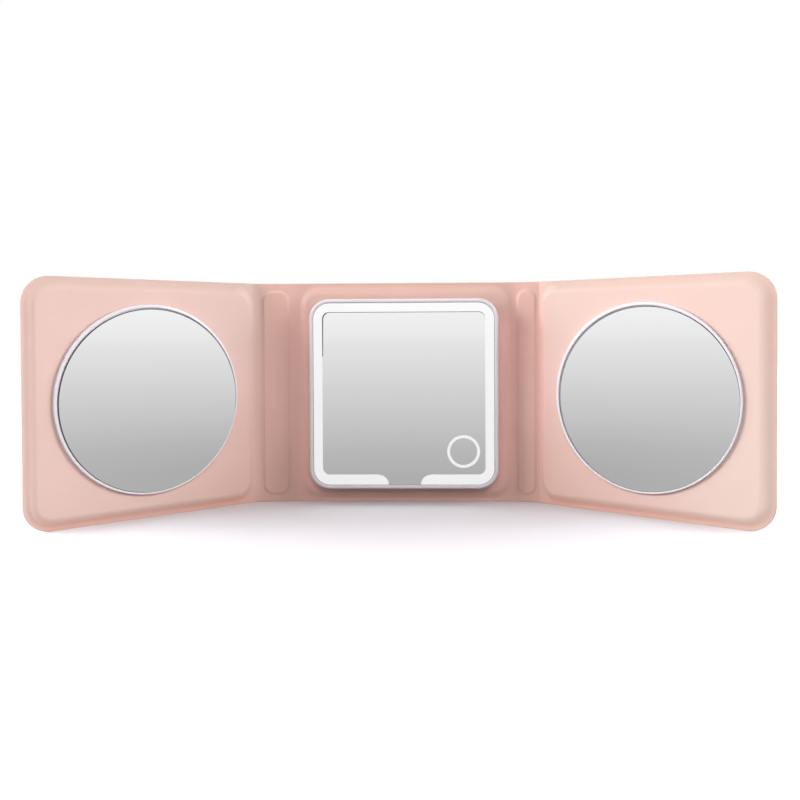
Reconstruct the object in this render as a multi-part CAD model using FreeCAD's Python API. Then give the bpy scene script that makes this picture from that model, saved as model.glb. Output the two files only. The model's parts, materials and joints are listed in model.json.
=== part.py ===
import FreeCAD
import Part
import math
import os

Vector = FreeCAD.Vector
TOUCHING = 1e-5               # points and planes closer than this, in millimetres, count as the same

# A folding vanity mirror: a leather case of three square panels joined by two padded spines, with a
# lit square mirror on the centre panel and a round mirror on each wing.  It folds like a letter:
# the right wing shuts over the square mirror, then the left wing shuts over the right one.
#
# Frame: origin at the middle of the centre panel's bottom edge, in the plane where its two skins meet.
# X runs along the centre panel, Z is up and the mirrors face -Y.  All sizes are millimetres.
# Each side is drawn as if it were the right one, lying flat, then turned about its two creases
# and, for the left side, mirrored.

# ---- leather case ----
CASE_HEIGHT = 105.0
CENTRE_PANEL_WIDTH = 97.2
WING_PANEL_WIDTH = 97.8
END_RIM = 4.2                 # panel edge to the case's top and bottom edges
LEFT_SIDE_RIM = 4.7           # panel edge to the free side edge of a wing
RIGHT_SIDE_RIM = 5.4
CASE_CORNER_RADIUS = 11.3
SKIN = 0.6                    # thickness of one leather skin
PANEL_RISE = 1.4              # front of a padded panel ahead of the flange
PAD_RISE = 0.6                # front of a spine pad ahead of the flange
BACK_RISE = 0.4               # back of a padded panel behind the flange
BACK_EDGE_BEVEL = 0.3         # bevel round that raised back
END_SLOPE = 3.2               # width of the pressed slope along the top and bottom
LEFT_SIDE_SLOPE = 4.0         # width of the pressed slope at a wing's free side
RIGHT_SIDE_SLOPE = 4.6
SHOULDER_INSET = 1.4          # bevelled shoulder of a panel's front: its width on the top
SHOULDER_DROP = 0.3           # and how far it runs down the slope
PANEL_CORNER_RADIUS = 7.4
PAD_SLOPE = 0.8
PAD_CORNER_RADIUS = 4.4
PAD_END_FLAT = 0.05           # least straight run from a pad corner to the pad's middle line
INSERT_CLEARANCE = 0.15       # foam and board to the pressed pocket round them
BOARD_THICKNESS = 1.1

# ---- creases: the fold axes, measured in the flat case ----
CREASE_HALF_WIDTH = 1.0       # unpadded skin on each side of a fold axis that takes the bend
LEFT_PANEL_TO_INNER_AXIS = 5.3
LEFT_INNER_AXIS_TO_PAD = 1.7
LEFT_PAD_TO_OUTER_AXIS = 3.7
LEFT_OUTER_AXIS_TO_WING = 3.4
RIGHT_PANEL_TO_INNER_AXIS = 3.0
RIGHT_INNER_AXIS_TO_PAD = 1.9
RIGHT_PAD_TO_OUTER_AXIS = 1.4
RIGHT_OUTER_AXIS_TO_WING = 2.6
LEFT_INNER_SLOPE = 2.0        # pressed slopes beside the creases
LEFT_OUTER_SLOPE = 2.0
RIGHT_INNER_SLOPE = 1.6
RIGHT_OUTER_SLOPE = 1.4

# ---- how far each crease is folded at rest, and the closed stack ----
LEFT_INNER_FOLD_ANGLE = 5.0
LEFT_OUTER_FOLD_ANGLE = 35.4
RIGHT_INNER_FOLD_ANGLE = 14.3
RIGHT_OUTER_FOLD_ANGLE = 22.3
LEFT_SPINE_LEAN_ANGLE = 12.5        # the closed left spine leans out round the right wing's free edge
RIGHT_FOLD_CLEARANCE = 0.3    # round mirror to square mirror, closed
LEFT_FOLD_CLEARANCE = 0.66    # round mirror to the right wing's back, closed

# ---- square mirror module ----
MODULE_WIDTH = 89.0
MODULE_HEIGHT = 89.6
MODULE_CENTRE_X = -0.55
MODULE_ABOVE_MIDDLE = -0.2    # module's middle above the case's
MODULE_CORNER_RADIUS = 9.5
MODULE_TAPE = 0.4
MODULE_TAPE_INSET = 6.0
SHELL_DEPTH = 5.1
SHELL_FLOOR = 1.0
SHELL_WALL = 1.6
SHELL_BACK_BEVEL = 0.6
BEZEL_DEPTH = 1.4
BEZEL_WIDTH = 1.7
BEZEL_EDGE_BEVEL = 0.55
PANE_THICKNESS = 1.2
PANE_RECESS = 0.2             # pane's front behind the bezel's front
PANE_CLEARANCE = 0.2
PRINT_THICKNESS = 0.1         # frosted print on the glass
BAND_WIDTH = 4.15             # at the sides and the top
BAND_BOTTOM_WIDTH = 4.75
BAND_INNER_RADIUS = 3.2
BAND_MARGIN = 0.1
BAND_GAP_AT_EDGE = 15.2       # break in the light band at the bottom
BAND_GAP_OFFSET = 0.35        # break to the right of the module's middle
BAND_END_LAND = 0.2           # straight part of a band end, above its rounding
TOUCH_RING_RADIUS = 7.7
TOUCH_RING_LINE = 1.33
TOUCH_RING_FROM_RIGHT = 16.45 # ring's middle from the module's right side
TOUCH_RING_FROM_BOTTOM = 17.6

# ---- inside the module ----
GUIDE_THICKNESS = 1.3
REFLECTOR_THICKNESS = 0.2
FLEX_THICKNESS = 0.25
FLEX_END_MARGIN = 10.0
LED_LENGTH = 2.0
LED_HEIGHT = 1.0
LED_DEPTH = 0.7
LED_COUNT = 8                 # on each of three sides
LED_TO_GUIDE = 0.15
INNER_CLEARANCE = 0.2
CIRCUIT_WIDTH = 30.0
CIRCUIT_HEIGHT = 34.0
CIRCUIT_THICKNESS = 0.8
CIRCUIT_CORNER_RADIUS = 1.0
CIRCUIT_MARGIN = 1.5          # circuit board to the shell's lower right inner walls
CHIP_SIZE = 4.0
CHIP_THICKNESS = 0.9
CHIP_PITCH = 7.0
CHIP_TO_TAB = 1.0
CHIP_COUNT = 3
BATTERY_HEIGHT = 52.0
BATTERY_THICKNESS = 2.2
BATTERY_CORNER_RADIUS = 2.0
BATTERY_LEFT_MARGIN = 4.0     # cell to the shell's left inner wall
BATTERY_TO_CIRCUIT = 5.8
TOUCH_CONTACT_SIZE = 4.4
TOUCH_HOLE_CLEARANCE = 0.4
SOCKET_WIDTH = 7.6
SOCKET_HEIGHT = 2.4
SOCKET_LENGTH = 5.6
SOCKET_WALL = 0.3
SOCKET_CORNER_RADIUS = 0.7
SOCKET_FROM_BOTTOM = 31.9     # socket's middle from the module's bottom
SOCKET_CLEARANCE = 0.1
TAB_WIDTH = 3.0
TAB_THICKNESS = 0.2
TAB_SPACING = 6.0
TAB_FROM_CIRCUIT_TOP = 4.0
TAB_ON_CIRCUIT = 2.6          # soldered length on the circuit board
RIB_THICKNESS = 0.8
RIB_HEIGHT = 1.6
RIB_CLEARANCE = 0.2
RIB_SHARE = 0.25              # length of a rib as a share of the cell's height

# ---- round mirrors on the wings ----
RING_RADIUS = 41.65
RING_WIDTH = 1.1
RING_CENTRE_TO_PANEL_EDGE = 49.4
RING_BELOW_MIDDLE = 0.2       # ring's centre below the case's middle
RING_EDGE_BEVEL = 0.35
TRAY_FLOOR = 0.4
GLASS_THICKNESS = 0.8
GLASS_RECESS = 0.2
GLASS_CLEARANCE = 0.3
TRAY_TAPE = 0.2
TRAY_TAPE_SIZE = 48.0
TRAY_TAPE_CORNER_RADIUS = 3.0
MAGNET_WIDTH = 4.0
MAGNET_LENGTH = 10.0
MAGNET_THICKNESS = 0.8
MAGNET_FROM_EDGE = 4.2
MAGNET_FROM_END = 12.0

# ---- places that follow from the sizes above ----
PANEL_BOTTOM = END_RIM
PANEL_TOP = CASE_HEIGHT - END_RIM
HALF_CENTRE = CENTRE_PANEL_WIDTH / 2
PANEL_FRONT = -SKIN - PANEL_RISE
BOARD_BACK = BACK_RISE
BOARD_FRONT = BOARD_BACK - BOARD_THICKNESS
POCKET_FRONT = PANEL_FRONT + SKIN
MIRROR_RISE = TRAY_TAPE + TRAY_FLOOR + GLASS_THICKNESS + GLASS_RECESS
MIRROR_FRONT = PANEL_RISE + MIRROR_RISE          # heights ahead of the flange
MODULE_FRONT = PANEL_RISE + MODULE_TAPE + SHELL_DEPTH + BEZEL_DEPTH
RIGHT_AXIS_GAP = 2 * SKIN + MIRROR_FRONT + MODULE_FRONT + RIGHT_FOLD_CLEARANCE
LEFT_STACK = RIGHT_AXIS_GAP + 2 * SKIN + BACK_RISE + MIRROR_FRONT + LEFT_FOLD_CLEARANCE
LEFT_AXIS_GAP = LEFT_STACK / math.cos(math.radians(LEFT_SPINE_LEAN_ANGLE))
SHELL_BACK = PANEL_FRONT - MODULE_TAPE
SHELL_FRONT = SHELL_BACK - SHELL_DEPTH
BEZEL_FRONT = SHELL_FRONT - BEZEL_DEPTH
PANE_FRONT = BEZEL_FRONT + PANE_RECESS
PANE_BACK = PANE_FRONT + PANE_THICKNESS
GUIDE_BACK = PANE_BACK + GUIDE_THICKNESS
REFLECTOR_BACK = GUIDE_BACK + REFLECTOR_THICKNESS
FLOOR_FRONT = SHELL_BACK - SHELL_FLOOR
CIRCUIT_FRONT = FLOOR_FRONT - CIRCUIT_THICKNESS
MODULE_RIGHT = MODULE_CENTRE_X + MODULE_WIDTH / 2
MODULE_CENTRE_Z = CASE_HEIGHT / 2 + MODULE_ABOVE_MIDDLE
MODULE_BOTTOM = MODULE_CENTRE_Z - MODULE_HEIGHT / 2
INNER_RIGHT = MODULE_RIGHT - SHELL_WALL
INNER_LEFT = INNER_RIGHT - MODULE_WIDTH + 2 * SHELL_WALL
INNER_BOTTOM = MODULE_BOTTOM + SHELL_WALL
INNER_TOP = INNER_BOTTOM + MODULE_HEIGHT - 2 * SHELL_WALL
GUIDE_INSET = SHELL_WALL + FLEX_THICKNESS + LED_DEPTH + LED_TO_GUIDE
CIRCUIT_RIGHT = INNER_RIGHT - CIRCUIT_MARGIN
CIRCUIT_LEFT = CIRCUIT_RIGHT - CIRCUIT_WIDTH
CIRCUIT_BOTTOM = INNER_BOTTOM + CIRCUIT_MARGIN
TOUCH_RING_X = MODULE_RIGHT - TOUCH_RING_FROM_RIGHT
TOUCH_RING_Z = MODULE_BOTTOM + TOUCH_RING_FROM_BOTTOM
SOCKET_Z = MODULE_BOTTOM + SOCKET_FROM_BOTTOM


class Side:
    """One side of the case: where its creases, pad and wing lie when it is flat."""

    def __init__(self, name, mirrored, gaps, slopes, side_rim, folds, axis_gap):
        to_axis, to_pad, from_pad, to_wing = gaps
        self.name = name
        self.mirrored = mirrored
        self.inner_slope, self.outer_slope, self.side_slope = slopes
        self.inner_fold, self.outer_fold = folds
        self.inner_axis = HALF_CENTRE + to_axis
        self.outer_axis = self.inner_axis + axis_gap
        self.pad_start = self.inner_axis + to_pad
        self.pad_end = self.outer_axis - from_pad
        self.panel_start = self.outer_axis + to_wing
        self.panel_end = self.panel_start + WING_PANEL_WIDTH
        self.free_edge = self.panel_end + side_rim
        self.ring_x = self.panel_start + RING_CENTRE_TO_PANEL_EDGE


LEFT = Side("left", True,
            (LEFT_PANEL_TO_INNER_AXIS, LEFT_INNER_AXIS_TO_PAD, LEFT_PAD_TO_OUTER_AXIS,
             LEFT_OUTER_AXIS_TO_WING),
            (LEFT_INNER_SLOPE, LEFT_OUTER_SLOPE, LEFT_SIDE_SLOPE), LEFT_SIDE_RIM,
            (LEFT_INNER_FOLD_ANGLE, LEFT_OUTER_FOLD_ANGLE), LEFT_AXIS_GAP)
RIGHT = Side("right", False,
             (RIGHT_PANEL_TO_INNER_AXIS, RIGHT_INNER_AXIS_TO_PAD, RIGHT_PAD_TO_OUTER_AXIS,
              RIGHT_OUTER_AXIS_TO_WING),
             (RIGHT_INNER_SLOPE, RIGHT_OUTER_SLOPE, RIGHT_SIDE_SLOPE), RIGHT_SIDE_RIM,
             (RIGHT_INNER_FOLD_ANGLE, RIGHT_OUTER_FOLD_ANGLE), RIGHT_AXIS_GAP)


# ---- drawing helpers ----
def outline(x0, x1, z0, z1, y, radii):
    """Rounded rectangle in the plane y; radii from the bottom left one on round to the top left one."""
    signs = ((-1, -1), (1, -1), (1, 1), (-1, 1))
    edges = []
    ends = []
    for turn, ((sx, sz), radius) in enumerate(zip(signs, radii)):
        corner_x = x1 if sx > 0 else x0
        corner_z = z1 if sz > 0 else z0
        if radius <= 0:
            corner = Vector(corner_x, y, corner_z)
            ends.append((corner, corner, None))
            continue
        cx = corner_x - sx * radius
        cz = corner_z - sz * radius
        angles = [math.radians(180 + 90 * turn + step) for step in (0, 45, 90)]
        points = [Vector(cx + radius * math.cos(a), y, cz + radius * math.sin(a)) for a in angles]
        ends.append((points[0], points[2], Part.Arc(*points).toShape()))
    for index, (first, last, arc) in enumerate(ends):
        if arc is not None:
            edges.append(arc)
        following = ends[(index + 1) % 4][0]
        if last.distanceToPoint(following) > TOUCHING:
            edges.append(Part.LineSegment(last, following).toShape())
    return Part.Wire(edges)


def plate(x0, x1, z0, z1, y0, y1, radii):
    """Flat plate between the planes y0 and y1 with a rounded outline."""
    return Part.Face(outline(x0, x1, z0, z1, y0, radii)).extrude(Vector(0, y1 - y0, 0))


def edges_on_plane(shape, y):
    """Edges that lie wholly in the plane y."""
    return [edge for edge in shape.Edges
            if abs(edge.BoundBox.YMin - y) < TOUCHING and abs(edge.BoundBox.YMax - y) < TOUCHING]


def disc(x, z, radius, y0, y1):
    """Round plate between the planes y0 and y1."""
    return Part.makeCylinder(radius, y1 - y0, Vector(x, y0, z), Vector(0, 1, 0))


def ring(x, z, outer, inner, y0, y1):
    """Flat ring between the planes y0 and y1."""
    return disc(x, z, outer, y0, y1).cut(disc(x, z, inner, y0, y1))


def turned(shape, x, degrees):
    """Copy of a shape turned forwards about the upright fold axis at x, where the two skins meet."""
    copy = shape.copy()
    copy.rotate(Vector(x, 0, 0), Vector(0, 0, 1), -degrees)
    return copy


def on_side(shape, side):
    """Mirror a finished shape across when it belongs to the left side."""
    if not side.mirrored:
        return shape
    return shape.mirror(Vector(0, 0, 0), Vector(1, 0, 0))


def on_spine(shape, side):
    """Place a flat-drawn shape on the folded spine."""
    return on_side(turned(shape, side.inner_axis, side.inner_fold), side)


def on_wing(shape, side):
    """Place a flat-drawn shape on the folded wing."""
    folded = turned(shape, side.outer_axis, side.outer_fold)
    return on_side(turned(folded, side.inner_axis, side.inner_fold), side)


# ---- pressed leather ----
class Press:
    """A raised area of the leather: its top outline and the slopes that lead down to the flange."""

    def __init__(self, x0, x1, slope0, slope1, corner, end_slope=END_SLOPE):
        self.x0, self.x1 = x0, x1
        self.slope0, self.slope1, self.end_slope = slope0, slope1, end_slope
        self.corner = corner

    def outline_at(self, share, y, inset=0.0):
        """Outline in the plane y, a share of the way down the slopes (0 top, 1 foot), drawn in by inset."""
        down = share * self.end_slope
        radii = [self.corner + down - inset] * 4
        return outline(self.x0 - share * self.slope0 + inset, self.x1 + share * self.slope1 - inset,
                       PANEL_BOTTOM - down + inset, PANEL_TOP + down - inset, y, radii)


def pocketed(sheet, raised, press, depth):
    """A skin with a raised area on it and the pocket for the padding behind that."""
    pocket = Part.Face(press.outline_at(0, 0, SKIN / 2)).extrude(Vector(0, depth, 0))
    return sheet.fuse(raised).cut(pocket).removeSplitter()


def pressed_front(sheet, press, rise, shoulder_inset=0, shoulder_drop=0):
    """A liner with one raised area that slopes down to the flange, its shoulder bevelled if wanted."""
    sections = [press.outline_at(1, -SKIN)]
    if shoulder_drop > 0:
        sections.append(press.outline_at(shoulder_drop / rise, -SKIN - rise + shoulder_drop))
    sections.append(press.outline_at(0, -SKIN - rise, shoulder_inset))
    return pocketed(sheet, Part.makeLoft(sections, True, True), press, -rise)


def pressed_back(sheet, press):
    """A cover with one low raised area, its edge bevelled."""
    raised = Part.Face(press.outline_at(0, SKIN)).extrude(Vector(0, BACK_RISE, 0))
    raised = raised.makeChamfer(BACK_EDGE_BEVEL, edges_on_plane(raised, SKIN + BACK_RISE))
    return pocketed(sheet, raised, press, BACK_RISE)


def flat_skin(x0, x1, face, radii):
    """One flat skin, from where the skins meet to its own face."""
    return plate(x0, x1, 0, CASE_HEIGHT, 0, face, radii)


def panel_skins(x0, x1, radii, press):
    """Liner and cover of a padded panel, pressed out on both faces."""
    liner = pressed_front(flat_skin(x0, x1, -SKIN, radii), press, PANEL_RISE, SHOULDER_INSET, SHOULDER_DROP)
    return liner, pressed_back(flat_skin(x0, x1, SKIN, radii), press)


def panel_inserts(press):
    """Foam and fibre board that fill the pocket between a panel's skins."""
    inset = SKIN / 2 + INSERT_CLEARANCE
    foam_depth = BOARD_FRONT - POCKET_FRONT
    foam = Part.Face(press.outline_at(0, POCKET_FRONT, inset)).extrude(Vector(0, foam_depth, 0))
    board = Part.Face(press.outline_at(0, BOARD_FRONT, inset)).extrude(Vector(0, BOARD_THICKNESS, 0))
    return foam, board


def spine_parts(side):
    """Liner, cover and pad filling of one spine, drawn flat."""
    x0 = side.inner_axis + CREASE_HALF_WIDTH
    x1 = side.outer_axis - CREASE_HALF_WIDTH
    square = [0, 0, 0, 0]
    liner = flat_skin(x0, x1, -SKIN, square)
    cover = flat_skin(x0, x1, SKIN, square)
    pad_x0 = side.pad_start + PAD_SLOPE
    pad_x1 = side.pad_end - PAD_SLOPE
    corner = min(PAD_CORNER_RADIUS, (pad_x1 - pad_x0) / 2 - PAD_END_FLAT)
    press = Press(pad_x0, pad_x1, PAD_SLOPE, PAD_SLOPE, corner, PAD_SLOPE)
    liner = pressed_front(liner, press, PAD_RISE)
    filling = press.outline_at(0, -PAD_RISE, SKIN / 2 + INSERT_CLEARANCE)
    return liner, cover, Part.Face(filling).extrude(Vector(0, PAD_RISE, 0))


def crease(axis, fold):
    """Both skins bent through a fold: an arc that runs flush into the flat skins on each side."""
    angle = math.radians(fold)
    radius = CREASE_HALF_WIDTH / math.tan(angle / 2)
    centre = Vector(axis - CREASE_HALF_WIDTH, -radius, 0)
    ends = []
    arcs = []
    for r in (radius - SKIN, radius + SKIN):
        points = [centre + Vector(r * math.sin(a), r * math.cos(a), 0) for a in (0, angle / 2, angle)]
        arcs.append(Part.Arc(*points).toShape())
        ends.append((points[0], points[2]))
    start = Part.LineSegment(ends[0][0], ends[1][0]).toShape()
    finish = Part.LineSegment(ends[0][1], ends[1][1]).toShape()
    section = Part.Wire(Part.__sortEdges__([arcs[0], finish, arcs[1], start]))
    return Part.Face(section).extrude(Vector(0, 0, CASE_HEIGHT))


# ---- square mirror module ----
def module_plate(inset, corner_radius, y0, y1):
    """Plate in the module's outline, drawn in by inset."""
    x0 = MODULE_RIGHT - MODULE_WIDTH + inset
    z0 = MODULE_BOTTOM + inset
    return plate(x0, MODULE_RIGHT - inset, z0, z0 + MODULE_HEIGHT - 2 * inset, y0, y1,
                 [corner_radius] * 4)


def socket_block(grow):
    """Outer block of the charging socket along X, grown all round by a clearance."""
    width = SOCKET_WIDTH + 2 * grow
    height = SOCKET_HEIGHT + 2 * grow
    x0 = MODULE_RIGHT - SOCKET_LENGTH - SOCKET_WALL
    block = Part.makeBox(SOCKET_LENGTH, height, width,
                         Vector(x0, FLOOR_FRONT - SOCKET_HEIGHT - grow, SOCKET_Z - width / 2))
    along = [e for e in block.Edges if e.BoundBox.XLength > SOCKET_LENGTH / 2]
    return block.makeFillet(SOCKET_CORNER_RADIUS, along)


def charging_socket():
    """Metal socket shell with its contact tongue, mouth flush with the module's right wall."""
    shell = socket_block(0)
    mouth = socket_block(-SOCKET_WALL)
    mouth.translate(Vector(2 * SOCKET_WALL, 0, 0))
    middle_y = FLOOR_FRONT - SOCKET_HEIGHT / 2
    tongue_width = SOCKET_WIDTH / 2
    tongue = Part.makeBox(SOCKET_LENGTH - 4 * SOCKET_WALL, 2 * SOCKET_WALL, tongue_width,
                          Vector(MODULE_RIGHT - SOCKET_LENGTH, middle_y - SOCKET_WALL,
                                 SOCKET_Z - tongue_width / 2))
    return shell.cut(mouth).fuse(tongue)


def battery_box():
    """Sides of the battery: left, right, bottom and top."""
    bottom = MODULE_CENTRE_Z - BATTERY_HEIGHT / 2
    return (INNER_LEFT + BATTERY_LEFT_MARGIN, CIRCUIT_LEFT - BATTERY_TO_CIRCUIT, bottom,
            bottom + BATTERY_HEIGHT)


def module_shell():
    """Back tray of the module with the socket slot and the ribs that locate the battery."""
    tray = module_plate(0, MODULE_CORNER_RADIUS, SHELL_FRONT, SHELL_BACK)
    tray = tray.makeChamfer(SHELL_BACK_BEVEL, edges_on_plane(tray, SHELL_BACK))
    cavity = module_plate(SHELL_WALL, MODULE_CORNER_RADIUS - SHELL_WALL, SHELL_FRONT, FLOOR_FRONT)
    tray = tray.cut(cavity)
    slot = socket_block(SOCKET_CLEARANCE)
    slot.translate(Vector(SOCKET_LENGTH - SHELL_WALL, 0, 0))
    left, right, bottom, top = battery_box()
    length = RIB_SHARE * BATTERY_HEIGHT
    ribs = []
    for z in (bottom - RIB_CLEARANCE - RIB_THICKNESS, top + RIB_CLEARANCE):
        ribs.append(Part.makeBox(length, RIB_HEIGHT, RIB_THICKNESS,
                                 Vector((left + right - length) / 2, FLOOR_FRONT - RIB_HEIGHT, z)))
    for x in (left - RIB_CLEARANCE - RIB_THICKNESS, right + RIB_CLEARANCE):
        ribs.append(Part.makeBox(RIB_THICKNESS, RIB_HEIGHT, length,
                                 Vector(x, FLOOR_FRONT - RIB_HEIGHT, top - length)))
    return tray.cut(slot).fuse(ribs).removeSplitter()


def module_bezel():
    """Front frame of the module, with a bevelled outer edge."""
    frame = module_plate(0, MODULE_CORNER_RADIUS, BEZEL_FRONT, SHELL_FRONT)
    frame = frame.makeChamfer(BEZEL_EDGE_BEVEL, edges_on_plane(frame, BEZEL_FRONT))
    opening = module_plate(BEZEL_WIDTH, MODULE_CORNER_RADIUS - BEZEL_WIDTH, BEZEL_FRONT, SHELL_FRONT)
    return frame.cut(opening)


def light_band(y0, y1):
    """Frosted band round the pane, broken at the middle of its bottom run by two rounded ends."""
    outer_inset = BEZEL_WIDTH + PANE_CLEARANCE + BAND_MARGIN
    outer = module_plate(outer_inset, MODULE_CORNER_RADIUS - outer_inset, y0, y1)
    bottom = MODULE_BOTTOM + outer_inset
    side_inset = outer_inset + BAND_WIDTH
    inner = plate(MODULE_RIGHT - MODULE_WIDTH + side_inset, MODULE_RIGHT - side_inset,
                  bottom + BAND_BOTTOM_WIDTH, MODULE_BOTTOM + MODULE_HEIGHT - side_inset, y0, y1,
                  [BAND_INNER_RADIUS] * 4)
    radius = BAND_BOTTOM_WIDTH - BAND_END_LAND
    middle = MODULE_CENTRE_X + BAND_GAP_OFFSET
    half = BAND_GAP_AT_EDGE / 2 + radius
    gap = Part.makeBox(2 * half, y1 - y0, BAND_BOTTOM_WIDTH, Vector(middle - half, y0, bottom))
    for x in (middle - half, middle + half):
        gap = gap.cut(disc(x, bottom, radius, y0, y1))
    return outer.cut(inner).cut(gap)


def touch_ring(y0, y1):
    """Frosted circle that marks the touch switch."""
    inner = TOUCH_RING_RADIUS - TOUCH_RING_LINE
    return ring(TOUCH_RING_X, TOUCH_RING_Z, TOUCH_RING_RADIUS, inner, y0, y1)


def mirror_pane():
    """Silvered glass of the square mirror."""
    inset = BEZEL_WIDTH + PANE_CLEARANCE
    return module_plate(inset, MODULE_CORNER_RADIUS - inset, PANE_FRONT, PANE_BACK)


def contact_block(y0, y1, grow):
    """Square block behind the touch mark, grown all round by a clearance."""
    half = TOUCH_CONTACT_SIZE / 2 + grow
    return plate(TOUCH_RING_X - half, TOUCH_RING_X + half, TOUCH_RING_Z - half, TOUCH_RING_Z + half,
                 y0, y1, [0, 0, 0, 0])


def light_sheet(y0, y1):
    """Plate behind the pane with a hole for the touch contact."""
    sheet = module_plate(GUIDE_INSET, MODULE_CORNER_RADIUS - GUIDE_INSET, y0, y1)
    return sheet.cut(contact_block(y0, y1, TOUCH_HOLE_CLEARANCE))


def light_strips():
    """Flexible strips on the left, top and right walls, and the LEDs on them."""
    run_z = INNER_TOP - INNER_BOTTOM - 2 * FLEX_END_MARGIN
    run_x = INNER_RIGHT - INNER_LEFT - 2 * FLEX_END_MARGIN
    low_z = INNER_BOTTOM + FLEX_END_MARGIN
    low_x = INNER_LEFT + FLEX_END_MARGIN
    led_y = PANE_BACK + (GUIDE_THICKNESS - LED_HEIGHT) / 2
    flex = [Part.makeBox(FLEX_THICKNESS, GUIDE_THICKNESS, run_z, Vector(INNER_LEFT, PANE_BACK, low_z)),
            Part.makeBox(FLEX_THICKNESS, GUIDE_THICKNESS, run_z,
                         Vector(INNER_RIGHT - FLEX_THICKNESS, PANE_BACK, low_z)),
            Part.makeBox(run_x, GUIDE_THICKNESS, FLEX_THICKNESS,
                         Vector(low_x, PANE_BACK, INNER_TOP - FLEX_THICKNESS))]
    leds = []
    for index in range(LED_COUNT):
        along_z = low_z + (index + 0.5) * run_z / LED_COUNT - LED_LENGTH / 2
        along_x = low_x + (index + 0.5) * run_x / LED_COUNT - LED_LENGTH / 2
        leds.append(Part.makeBox(LED_DEPTH, LED_HEIGHT, LED_LENGTH,
                                 Vector(INNER_LEFT + FLEX_THICKNESS, led_y, along_z)))
        leds.append(Part.makeBox(LED_DEPTH, LED_HEIGHT, LED_LENGTH,
                                 Vector(INNER_RIGHT - FLEX_THICKNESS - LED_DEPTH, led_y, along_z)))
        leds.append(Part.makeBox(LED_LENGTH, LED_HEIGHT, LED_DEPTH,
                                 Vector(along_x, led_y, INNER_TOP - FLEX_THICKNESS - LED_DEPTH)))
    return Part.makeCompound(flex), Part.makeCompound(leds)


def circuit_board():
    """Circuit board in the lower right corner, notched round the socket."""
    inner_radius = MODULE_CORNER_RADIUS - SHELL_WALL - INNER_CLEARANCE
    radii = [CIRCUIT_CORNER_RADIUS] * 4
    radii[1] = inner_radius
    board = plate(CIRCUIT_LEFT, CIRCUIT_RIGHT, CIRCUIT_BOTTOM,
                  CIRCUIT_BOTTOM + CIRCUIT_HEIGHT, CIRCUIT_FRONT, FLOOR_FRONT, radii)
    notch_x = MODULE_RIGHT - SOCKET_LENGTH - SOCKET_WALL - SOCKET_CLEARANCE
    notch_width = SOCKET_WIDTH + 2 * SOCKET_CLEARANCE
    notch = Part.makeBox(SOCKET_LENGTH, CIRCUIT_THICKNESS, notch_width,
                         Vector(notch_x, CIRCUIT_FRONT, SOCKET_Z - notch_width / 2))
    return board.cut(notch)


def circuit_chips():
    """Charging and lamp driver chips in a row on the circuit board."""
    start_x = CIRCUIT_LEFT + TAB_ON_CIRCUIT + CHIP_TO_TAB
    z = TOUCH_RING_Z + TOUCH_RING_RADIUS
    chips = [Part.makeBox(CHIP_SIZE, CHIP_THICKNESS, CHIP_SIZE,
                          Vector(start_x + index * CHIP_PITCH, CIRCUIT_FRONT - CHIP_THICKNESS, z))
             for index in range(CHIP_COUNT)]
    return Part.makeCompound(chips)


def battery():
    """Flat pouch cell on the shell floor."""
    left, right, bottom, top = battery_box()
    return plate(left, right, bottom, top, FLOOR_FRONT - BATTERY_THICKNESS, FLOOR_FRONT,
                 [BATTERY_CORNER_RADIUS] * 4)


def battery_tabs():
    """Two flat metal tabs from the cell's side to pads on the circuit board."""
    right = battery_box()[1]
    length = CIRCUIT_LEFT + TAB_ON_CIRCUIT - right
    top = CIRCUIT_BOTTOM + CIRCUIT_HEIGHT - TAB_FROM_CIRCUIT_TOP
    y = CIRCUIT_FRONT - TAB_THICKNESS
    tabs = [Part.makeBox(length, TAB_THICKNESS, TAB_WIDTH, Vector(right, y, z))
            for z in (top - TAB_WIDTH, top - TAB_WIDTH - TAB_SPACING)]
    return Part.makeCompound(tabs)


# ---- round mirror of a wing, drawn flat ----
def round_mirror(side):
    """Tape, tray and glass of the round mirror."""
    x = side.ring_x
    z = CASE_HEIGHT / 2 - RING_BELOW_MIDDLE
    half = TRAY_TAPE_SIZE / 2
    tray_back = PANEL_FRONT - TRAY_TAPE
    glass_back = tray_back - TRAY_FLOOR
    front = -SKIN - MIRROR_FRONT
    tape = plate(x - half, x + half, z - half, z + half, tray_back, PANEL_FRONT,
                 [TRAY_TAPE_CORNER_RADIUS] * 4)
    tray = disc(x, z, RING_RADIUS, front, tray_back)
    tray = tray.makeChamfer(RING_EDGE_BEVEL, edges_on_plane(tray, front))
    tray = tray.cut(disc(x, z, RING_RADIUS - RING_WIDTH, front, glass_back))
    glass_radius = RING_RADIUS - RING_WIDTH - GLASS_CLEARANCE
    glass = disc(x, z, glass_radius, glass_back - GLASS_THICKNESS, glass_back)
    return tape, tray, glass


def magnets(side, depth, grow):
    """Bar magnets near the wing's free edge, or their slots in the board, grown by a clearance."""
    x = side.panel_end - MAGNET_FROM_EDGE
    half_width = MAGNET_WIDTH / 2 + grow
    bars = []
    for z in (PANEL_BOTTOM + MAGNET_FROM_END, PANEL_TOP - MAGNET_FROM_END):
        half_length = MAGNET_LENGTH / 2 + grow
        bars.append(Part.makeBox(2 * half_width, depth, 2 * half_length,
                                 Vector(x - half_width, BOARD_FRONT, z - half_length)))
    return bars


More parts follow.
